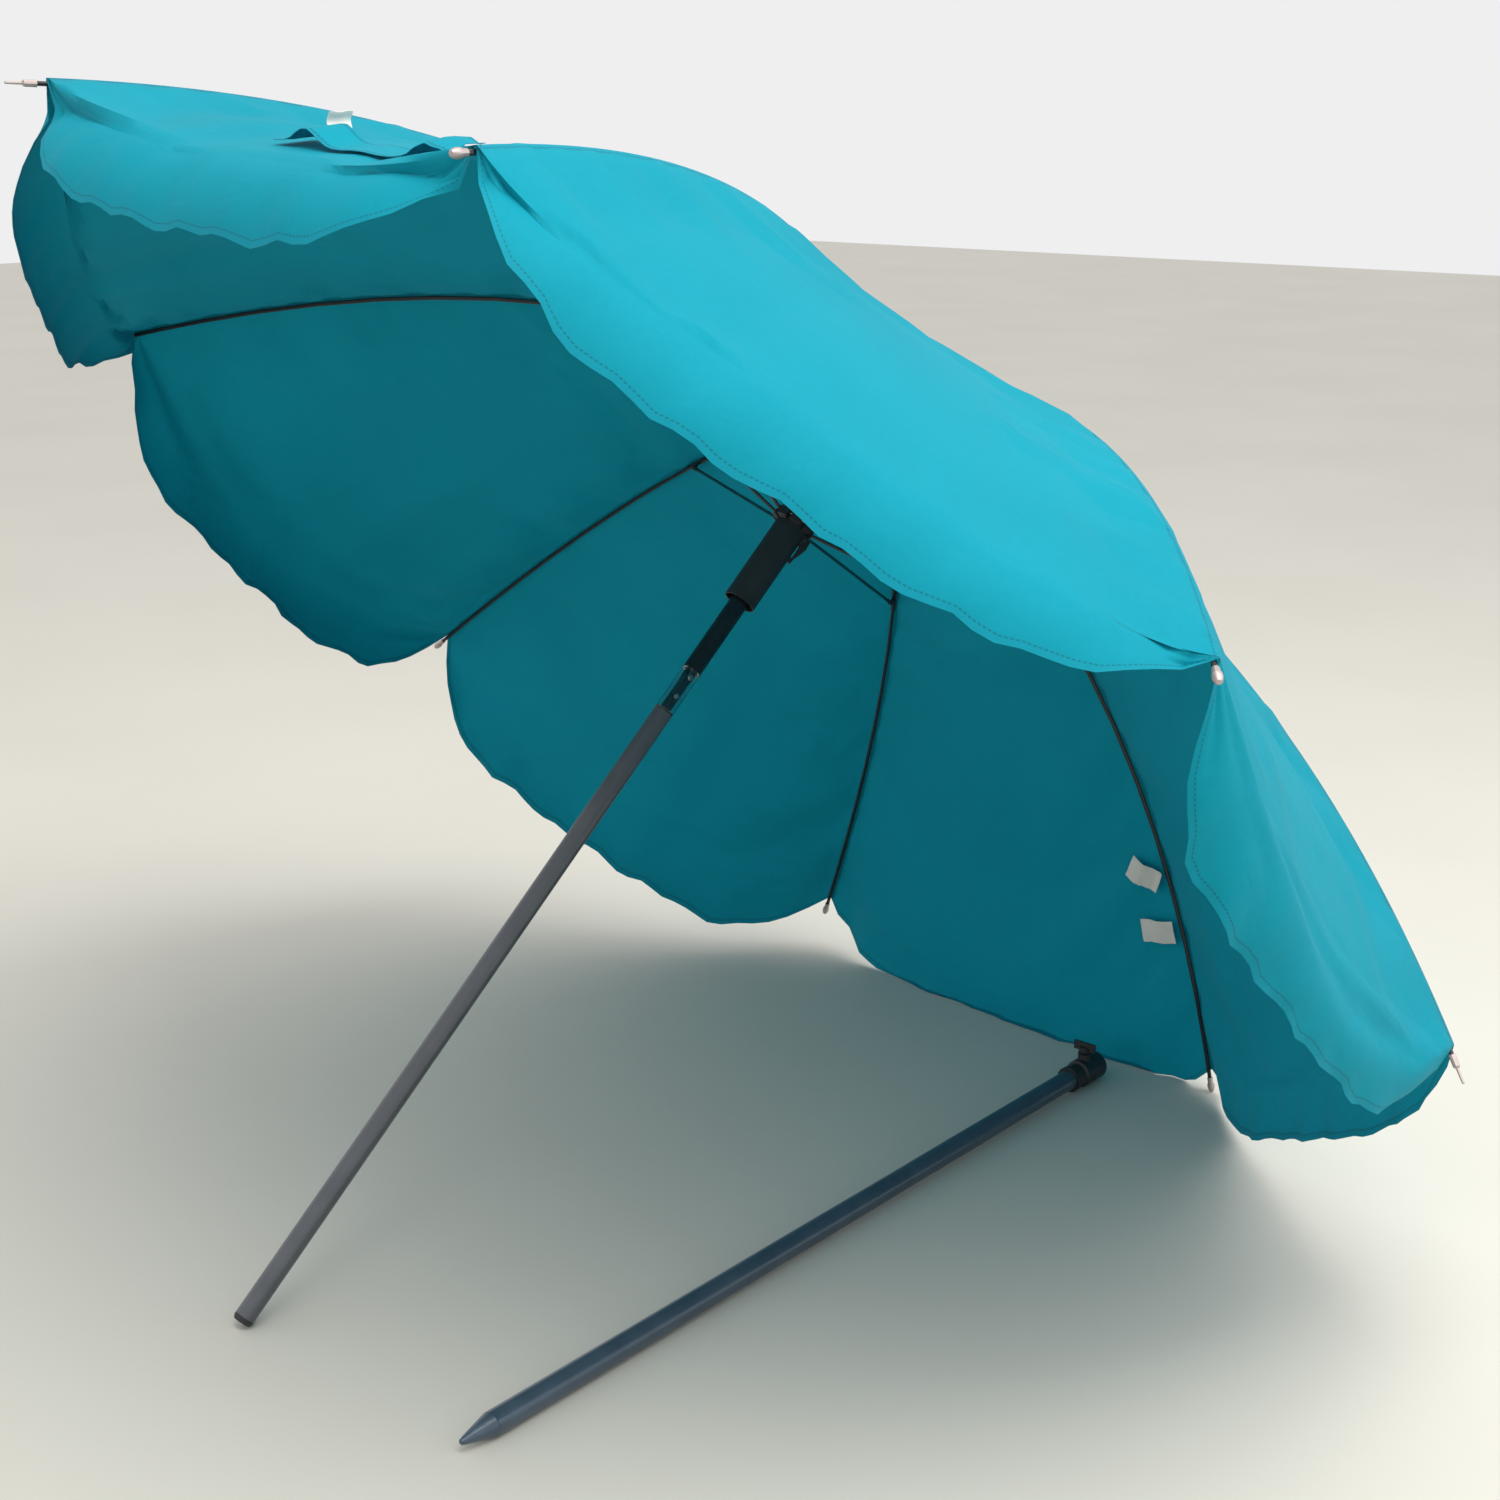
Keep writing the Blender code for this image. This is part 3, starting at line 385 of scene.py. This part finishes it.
# %% [markdown]
# ## The shape of the stretched cloth
# Cloth between two ribs runs nearly straight from one to the other, and follows the ribs' curve from the
# crown to the rim. Below the line between two tips hangs a loose lobe, which curls in under its own
# weight. The two lobes at the resting rib are shorter, because the ground holds them up, and the second
# gore's lobe is rolled under, so less of it hangs.

# %% Rib and cloth curves
RIM_RADIUS, DOME_HEIGHT, DOME_POWER, RIM_LEVEL = 0.900, 0.369, 2.2, 0.852
FABRIC_LIFT, CROWN_LIFT, CROWN_SPREAD = 0.0056, 0.0052, 0.030
CROWN_HOLE, FABRIC_EDGE = 0.014, 0.882
LONG_LOBE, SHORT_LOBE, LOBE_POWER = 0.135, 0.080, 5
GROUND_GORES = (4, 5)
TUCKED_GORE, TUCKED_LOBE = 2, 0.110


def rib_height(radius):
    return RIM_LEVEL + DOME_HEIGHT * (1 - (radius / RIM_RADIUS) ** DOME_POWER)


def rib_slope(radius):
    return -DOME_HEIGHT * DOME_POWER * radius ** (DOME_POWER - 1) / RIM_RADIUS**DOME_POWER


def cloth_on_rib(radius):
    """(out, up) of the cloth straight above a rib."""
    along = Vector((1, rib_slope(radius))).normalized()
    lift = FABRIC_LIFT + CROWN_LIFT * math.exp(-((max(radius - 0.012, 0) / CROWN_SPREAD) ** 2))
    return Vector((radius - along.y * lift, rib_height(radius) + along.x * lift))


def cloth_between(radius, share):
    """A point of the cloth in the first rib's axes, share of the way to the next rib."""
    flat = cloth_on_rib(radius)
    here = Vector((flat.x, 0, flat.y))
    there = Vector((flat.x * math.cos(SECTOR), flat.x * math.sin(SECTOR), flat.y))
    return here.lerp(there, share)


def lobe_point(share, fall):
    """A point of the loose lobe, fall metres of cloth below the line between the tips."""
    point = cloth_between(FABRIC_EDGE, share)
    outward = Vector((math.cos(SECTOR / 2), math.sin(SECTOR / 2), 0))
    start = math.atan(-rib_slope(FABRIC_EDGE) * 0.9)
    steps = 8
    for k in range(steps):
        heading = start + 9.0 * fall * (k + 0.5) / steps
        point = point + (outward * math.cos(heading) - Vector((0, 0, math.sin(heading)))) * fall / steps
    return point


print("crown at", round(rib_height(0), 3), "m, rim at", RIM_LEVEL, "m along the pole")

# %% [markdown]
# ## One sheet for the whole canopy
# The cloth is built in one piece, so that it curves and creases without a break. Each column runs from
# the crown to the free edge, and the columns are spaced evenly across each gore. Gathers at
# the hem and pulls that fan out from each tip are laid in first, and the simulation softens them.

# %% Build the sheet
GORE_COLUMNS, DOME_ROWS, LOBE_ROWS = 36, 42, 14
ROWS = DOME_ROWS + LOBE_ROWS
COLUMNS = RIB_COUNT * GORE_COLUMNS


def lobe_depth(gore):
    if gore == TUCKED_GORE:
        return TUCKED_LOBE
    return SHORT_LOBE if gore in GROUND_GORES else LONG_LOBE


# Waves across a gore, their height in metres, and where they start in radians.
GATHERS = ((5, 0.0026, 0.0), (9, 0.0030, 1.3), (14, 0.0009, 2.9))
PULLS = ((3, 0.0022, 0.4), (5, 0.0016, 2.2), (8, 0.0009, 1.1))


def relief(gore, share, down, edge_gap):
    """How far the cloth stands off its stretched shape: hem gathers and pulls from the tips."""
    middle = math.sin(math.pi * share)
    near_hem = math.exp(-((edge_gap / 0.060) ** 2))
    gather = sum(size * math.sin(2 * math.pi * waves * share + phase + 1.9 * gore) for waves, size, phase in GATHERS)
    pull = sum(size * math.sin(2 * math.pi * waves * share + phase + 2.3 * gore) for waves, size, phase in PULLS)
    near_rim = math.exp(-(((down - 0.86) / 0.20) ** 2))
    hollow = -0.007 * middle**1.5 * down**1.5
    return min(1, 3 * middle) * (gather * near_hem + pull * near_rim) + hollow


def sheet_points():
    """Positions with and without the relief, and metres from the free edge, by column and row."""
    place = np.zeros((COLUMNS, ROWS + 1, 3))
    plain = np.zeros((COLUMNS, ROWS + 1, 3))
    to_edge = np.zeros((COLUMNS, ROWS + 1))
    for column in range(COLUMNS):
        gore, step = column // GORE_COLUMNS + 1, column % GORE_COLUMNS
        share = step / GORE_COLUMNS
        full = 0.002 + lobe_depth(gore) * (1 - abs(2 * share - 1) ** LOBE_POWER)
        side = Vector((math.cos(SECTOR / 2), math.sin(SECTOR / 2), 0))
        for row in range(ROWS + 1):
            dome = min(row / DOME_ROWS, 1)
            radius = CROWN_HOLE + (FABRIC_EDGE - CROWN_HOLE) * dome**0.85
            fall = full * max(row - DOME_ROWS, 0) / LOBE_ROWS
            point = lobe_point(share, fall) if row > DOME_ROWS else cloth_between(radius, share)
            to_edge[column, row] = (full - fall) + (FABRIC_EDGE - radius) * 1.15
            normal = (side * -rib_slope(radius) + Vector((0, 0, 1))).normalized()
            plain[column, row] = ARMS[gore] @ point
            point = point + normal * relief(gore, share, dome, to_edge[column, row])
            place[column, row] = ARMS[gore] @ point
    return place, plain, to_edge


stretched, unworn, to_edge = sheet_points()
print("cloth points:", stretched.shape[0] * stretched.shape[1])

# %% [markdown]
# ## Letting the cloth hang
# The cloth is sewn to the ribs and to the crown, so those points are pinned, and the rest is simulated
# under gravity with slightly more cloth than the span needs. That gives the shallow hollows and pulls of
# real gores. How far a point may move is capped, and nothing may go below the ground. More than a quarter of
# the points stop at that cap, so it shapes the cloth as much as the simulation does.

# %% Simulate and settle
GROUND_CLEAR = 0.0009
LARGEST_MOVE, LOBE_MOVE = 0.016, 0.050
TUCKED_FREEDOM = 0.2
SEWN_ROWS, HANG_FRAMES = 2, 24


def sheet_mesh(name, points):
    """A mesh of the closed ring of columns."""
    mesh = bpy.data.meshes.new(name)
    bm = bmesh.new()
    grid = [[bm.verts.new(points[c, r]) for r in range(ROWS + 1)] for c in range(COLUMNS)]
    for c in range(COLUMNS):
        after = (c + 1) % COLUMNS
        for r in range(ROWS):
            bm.faces.new((grid[c][r], grid[c][r + 1], grid[after][r + 1], grid[after][r]))
    bm.to_mesh(mesh)
    bm.free()
    return mesh


def hang(points):
    cloth = bpy.data.objects.new("cloth_hanging", sheet_mesh("cloth_hanging", points))
    bpy.context.scene.collection.objects.link(cloth)
    sewn = cloth.vertex_groups.new(name="sewn")
    for c in range(COLUMNS):
        for r in range(ROWS + 1):
            if c % GORE_COLUMNS == 0 or r <= SEWN_ROWS:
                sewn.add([c * (ROWS + 1) + r], 1.0, "REPLACE")
    settings = cloth.modifiers.new("Cloth", "CLOTH").settings
    settings.quality = 7
    settings.mass = 0.05
    settings.tension_stiffness = 30
    settings.compression_stiffness = 20
    settings.shear_stiffness = 12
    settings.bending_stiffness = 0.12
    settings.tension_damping = 15
    settings.air_damping = 3
    settings.shrink_min = -0.010
    settings.vertex_group_mass = "sewn"
    scene = bpy.context.scene
    for number in range(1, HANG_FRAMES + 1):
        scene.frame_set(number)
    graph = bpy.context.evaluated_depsgraph_get()
    fallen = cloth.evaluated_get(graph).to_mesh()
    flat = np.zeros(len(fallen.vertices) * 3)
    fallen.vertices.foreach_get("co", flat)
    bpy.data.objects.remove(cloth, do_unlink=True)
    scene.frame_set(1)
    return flat.reshape(points.shape)


hung = hang(stretched)
move = hung - stretched
length = np.linalg.norm(move, axis=2, keepdims=True)
loose = np.clip((np.arange(ROWS + 1) - DOME_ROWS + 4) / (LOBE_ROWS + 4), 0, 1) ** 0.8
free = np.array([TUCKED_FREEDOM if c // GORE_COLUMNS + 1 == TUCKED_GORE else 1.0 for c in range(COLUMNS)])
allowed = (LARGEST_MOVE + (LOBE_MOVE - LARGEST_MOVE) * free[:, None] * loose[None, :])[..., None]
hung = stretched + move * np.minimum(1, allowed / np.maximum(length, 1e-9))
hung[..., 2] = np.maximum(hung[..., 2], GROUND_CLEAR)
print("cloth moved up to", round(float(length.max()) * 1000, 1), "mm before the cap")

# %% [markdown]
# ## Eight petals of one sheet
# When the umbrella folds, each rib carries the cloth on both sides of it. The sheet is therefore cut along
# the middle of each gore, where neighbours share the same edge, and each petal follows its own rib. The
# area of each petal is read off the settled cloth, not off the piece as it was cut, and the areas are summed.

# %% Cut, colour and hang the petals
HALF = GORE_COLUMNS // 2
PANEL_THICK, STRIP_THICK = 0.0004, 0.0006
down_cloth = np.gradient(hung, axis=1)
round_cloth = np.roll(hung, -1, axis=0) - np.roll(hung, 1, axis=0)
facing = np.cross(down_cloth, round_cloth)
facing /= np.maximum(np.linalg.norm(facing, axis=2, keepdims=True), 1e-12)
along_cloth = np.zeros((COLUMNS, ROWS + 1))
along_cloth[:, 1:] = np.cumsum(np.linalg.norm(np.diff(hung, axis=1), axis=2), axis=1)


def crisp_edges(piece):
    """Keeps a thin shell's cut edge from shading the cloth beside it."""
    split = piece.modifiers.new("crisp cut", "EDGE_SPLIT")
    split.split_angle = math.radians(60)


def petal(number):
    columns = [((number - 1) * GORE_COLUMNS + k) % COLUMNS for k in range(-HALF, HALF + 1)]
    points = hung[columns]
    spread = np.linalg.norm(np.diff(points, axis=0), axis=2)
    reach = np.zeros(points.shape[:2])
    reach[HALF + 1 :] = np.cumsum(spread[HALF:], axis=0)
    reach[:HALF] = -np.cumsum(spread[:HALF][::-1], axis=0)[::-1]
    mesh = bpy.data.meshes.new(f"cloth_petal_{number}")
    bm = bmesh.new()
    cloth_map, rim_map = bm.loops.layers.uv.new("cloth"), bm.loops.layers.uv.new("rim")
    grid = [[bm.verts.new(points[c, r]) for r in range(ROWS + 1)] for c in range(len(columns))]
    for c in range(len(columns) - 1):
        for r in range(ROWS):
            corners = ((c, r), (c, r + 1), (c + 1, r + 1), (c + 1, r))
            face = bm.faces.new([grid[a][b] for a, b in corners])
            face.smooth = True
            for loop, (a, b) in zip(face.loops, corners):
                loop[cloth_map].uv = (reach[a, b], along_cloth[columns[a], b])
                loop[rim_map].uv = (to_edge[columns[a], b], 0)
    area = sum(face.calc_area() for face in bm.faces)
    bm.to_mesh(mesh)
    bm.free()
    shared = facing[columns].reshape(-1, 3)
    mesh.normals_split_custom_set_from_vertices([tuple(normal) for normal in shared])
    mesh.materials.append(polyester)
    piece = bpy.data.objects.new(f"cloth_petal_{number}", mesh)
    bpy.context.scene.collection.objects.link(piece)
    shell = piece.modifiers.new("thickness", "SOLIDIFY")
    shell.thickness = PANEL_THICK
    shell.offset = 0.0
    crisp_edges(piece)
    return piece, area, float(spread.sum(axis=0).max()), float(along_cloth[columns].max())


def fold_with_rib(piece, number):
    """The piece follows the rib: it is attached to the rib's body and keeps a mesh of its own."""
    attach(piece, f"arm_{number}")
    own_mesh(piece)


cloth_area = 0
for number in range(1, RIB_COUNT + 1):
    piece, area, width, run = petal(number)
    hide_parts(f"canopy_panel_{number}")
    fold_with_rib(piece, number)
    cloth_area += area
print("cloth in the canopy:", round(cloth_area, 2), "square metres")

# %% [markdown]
# ## Strap and labels
# The closure strap is a folded strip of the same cloth, sewn on beside the second rib. The labels are short
# lengths of tape, blank, with the slight curl that tape has. Each starts in the space of its measured solid,
# as a strip with a gentle wave, and then moves with the settled cloth. The strap also rises in two folds,
# and its tag is shorter than its solid.

# %% Follow the settled cloth
PLAIN_POINTS, SHIFTS = unworn.reshape(-1, 3), (hung - unworn).reshape(-1, 3)
outward_sign = 1 if float((facing[:, 4] @ np.array(UP_POLE)).mean()) > 0 else -1
CLOTH_POINTS, CLOTH_NORMALS = hung.reshape(-1, 3), facing.reshape(-1, 3) * outward_sign
STRIP_CLEAR = 0.0030


def settled(place, outside, lift=0.0):
    """The place moved as the cloth under it moved when it settled, and kept clear of the cloth."""
    near = np.linalg.norm(PLAIN_POINTS - np.array(place), axis=1)
    four = near.argsort()[:4]
    share = 1 / (near[four] + 0.002)
    moved = np.array(place) + (SHIFTS[four] * (share / share.sum())[:, None]).sum(axis=0)
    closest = np.linalg.norm(CLOTH_POINTS - moved, axis=1).argmin()
    height = float((moved - CLOTH_POINTS[closest]) @ CLOTH_NORMALS[closest])
    side = 1 if outside else -1
    return Vector(moved + side * CLOTH_NORMALS[closest] * (lift + max(0, STRIP_CLEAR - side * height)))


print("cloth settled by up to", round(float(np.linalg.norm(SHIFTS, axis=1).max()) * 1000, 1), "mm")

# %% Build the strips
def strip(name, node, number, finish, length_share=1.0, wave=0.0015, cells=14, humps=()):
    """A thin strip along the two longest directions of a solid, with a gentle wave."""
    co = np.array([v.co for v in frame["nodes"][node].data.vertices], float)
    centre = co.mean(axis=0)
    _, _, axes = np.linalg.svd(co - centre, full_matrices=False)
    if axes[0][2] < 0:
        axes[0] = -axes[0]
    reach = (co - centre) @ axes.T
    low, high = reach.min(axis=0), reach.max(axis=0)
    bow = np.polyfit(reach[:, 0], reach[:, 2], 2) if len(set(reach[:, 0].round(4))) > 4 else [0.0]
    mesh = bpy.data.meshes.new(name)
    bm = bmesh.new()
    cloth_map, rim_map = bm.loops.layers.uv.new("cloth"), bm.loops.layers.uv.new("rim")
    spots = {}
    for i in range(cells + 1):
        for j in range(5):
            a = low[0] + (high[0] - low[0]) * i / cells * length_share
            b = low[1] + (high[1] - low[1]) * j / 4
            c = wave * math.sin(2.4 * math.pi * i / cells)
            c += float(np.polyval(bow, a))
            place = centre + a * axes[0] + b * axes[1] + c * axes[2]
            lift = sum(height * math.exp(-(((i / cells - middle) / 0.09) ** 2)) for middle, height in humps)
            spots[i, j] = (bm.verts.new(settled(place, number == 2, lift)), a, b)
    for i in range(cells):
        for j in range(4):
            keys = ((i, j), (i + 1, j), (i + 1, j + 1), (i, j + 1))
            face = bm.faces.new([spots[k][0] for k in keys])
            face.smooth = True
            for loop, k in zip(face.loops, keys):
                loop[cloth_map].uv = (0.02 + spots[k][2], spots[k][1])
                loop[rim_map].uv = (min(spots[k][2] - low[1], high[1] - spots[k][2]) + 0.004, 0)
    area = sum(face.calc_area() for face in bm.faces)
    bm.to_mesh(mesh)
    bm.free()
    mesh.materials.append(finish)
    piece = bpy.data.objects.new(name, mesh)
    bpy.context.scene.collection.objects.link(piece)
    shell = piece.modifiers.new("thickness", "SOLIDIFY")
    shell.thickness = STRIP_THICK
    shell.offset = 0.0
    crisp_edges(piece)
    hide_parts(node)
    fold_with_rib(piece, number)
    return piece


strap = strip("tie_strap", "closure_strap", 2, polyester, cells=28, humps=((0.12, 0.010), (0.80, 0.014)))
TAPES = (
    ("sewn_tag", "strap_tags", 2, 0.6),
    ("care_tape_low", "care_label_low", 5, 1.0),
    ("care_tape_high", "care_label_high", 5, 1.0),
)
for name, node, number, share in TAPES:
    strip(name, node, number, label_tape, share, wave=0.0016)
print("strips made: 4")

# %% [markdown]
# ## The clear sleeve
# Soft vinyl bends where the pole tilts; here it is a fixed tube of many rings between the two knuckle
# halves, with a rolled lip at each end.

# %% Build the sleeve
def clear_sleeve():
    low, high = 0.7763, 0.8327
    rings, sides, outer, wall = 18, 40, 0.0110, 0.0008
    to_room = ARMS[1]
    bm = bmesh.new()
    loops = []
    profile = [(outer + 0.0004 * (k in (0, rings)), low + (high - low) * k / rings) for k in range(rings + 1)]
    profile += [(outer - wall, low + (high - low) * k / rings) for k in range(rings, -1, -1)]
    for radius, level in profile:
        turns = [2 * math.pi * s / sides for s in range(sides)]
        ring = [Vector((radius * math.cos(a), radius * math.sin(a), level)) for a in turns]
        loops.append([bm.verts.new(to_room @ point) for point in ring])
    for k in range(len(loops)):
        one, two = loops[k], loops[(k + 1) % len(loops)]
        for s in range(sides):
            t = (s + 1) % sides
            bm.faces.new((one[s], one[t], two[t], two[s])).smooth = True
    mesh = bpy.data.meshes.new("clear_sleeve")
    bm.to_mesh(mesh)
    bm.free()
    mesh.materials.append(vinyl)
    piece = bpy.data.objects.new("clear_sleeve", mesh)
    bpy.context.scene.collection.objects.link(piece)
    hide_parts("tilt_sleeve")
    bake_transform(piece)
    return piece


sleeve = clear_sleeve()
print("sleeve faces:", len(sleeve.data.polygons))

# %% [markdown]
# ## Floor, light and camera
# A plain pale floor shows the shadow that grounds the umbrella. An even pale surround and one broad soft
# lamp above and in front do most of the work, and a weaker lamp fills from the right.

# %% Set the stage
def pale_floor():
    finish, tree = new_finish("pale_screed")
    place = add(tree, "ShaderNodeTexCoord").outputs["Object"]
    cloudy = add(tree, "ShaderNodeTexNoise", {"Vector": place, "Scale": 1.4, "Detail": 6.0})
    screed = {0: cloudy.outputs["Fac"], 6: linear("#CFCCC1"), 7: linear("#DAD7CD")}
    tone = add(tree, "ShaderNodeMix", screed, data_type="RGBA")
    shader = add(tree, "ShaderNodeBsdfPrincipled", {"Base Color": tone.outputs[2], "Roughness": 0.8})
    add(tree, "ShaderNodeOutputMaterial", {"Surface": shader.outputs[0]})
    mesh = bpy.data.meshes.new("floor")
    bm = bmesh.new()
    bmesh.ops.create_grid(bm, x_segments=1, y_segments=1, size=14)
    bm.to_mesh(mesh)
    bm.free()
    mesh.materials.append(finish)
    floor = bpy.data.objects.new("floor", mesh)
    floor.location.z = -0.0003
    bpy.context.scene.collection.objects.link(floor)


def lamp(name, place, target, size, power, colour):
    data = bpy.data.lights.new(name, "AREA")
    data.size = size
    data.energy = power
    data.color = linear(colour)[:3]
    light = bpy.data.objects.new(name, data)
    light.location = place
    light.rotation_euler = (Vector(target) - Vector(place)).to_track_quat("-Z", "Y").to_euler()
    bpy.context.scene.collection.objects.link(light)


pale_floor()
lamp("key", (-0.5, -1.3, 3.7), (0.1, 0, 0.6), 2.4, 90, "#FFFDF8")
lamp("fill", (1.6, -2.6, 2.4), (0.1, 0, 0.5), 2.2, 35, "#F6FAFF")
world = bpy.data.worlds.new("pale_surround")
world.use_nodes = True
world.node_tree.nodes["Background"].inputs[0].default_value = linear("#EFEFF0")
world.node_tree.nodes["Background"].inputs[1].default_value = 1.0
bpy.context.scene.world = world
bpy.context.scene.view_settings.view_transform = "Standard"

# %% Place the camera
LOOK, PITCH = math.radians(40.4), 0.283
lens = bpy.data.cameras.new("viewer")
lens.lens = 53.76
lens.sensor_width = 36
camera = bpy.data.objects.new("viewer", lens)
camera.location = (-1.771, -1.610, 1.2056)
sight = Vector((math.cos(LOOK) * math.cos(PITCH), math.sin(LOOK) * math.cos(PITCH), -math.sin(PITCH)))
camera.rotation_euler = sight.to_track_quat("-Z", "Y").to_euler()
bpy.context.scene.collection.objects.link(camera)
bpy.context.scene.camera = camera
print("camera looks", round(math.degrees(LOOK), 1), "degrees round and", round(math.degrees(PITCH), 1), "down")
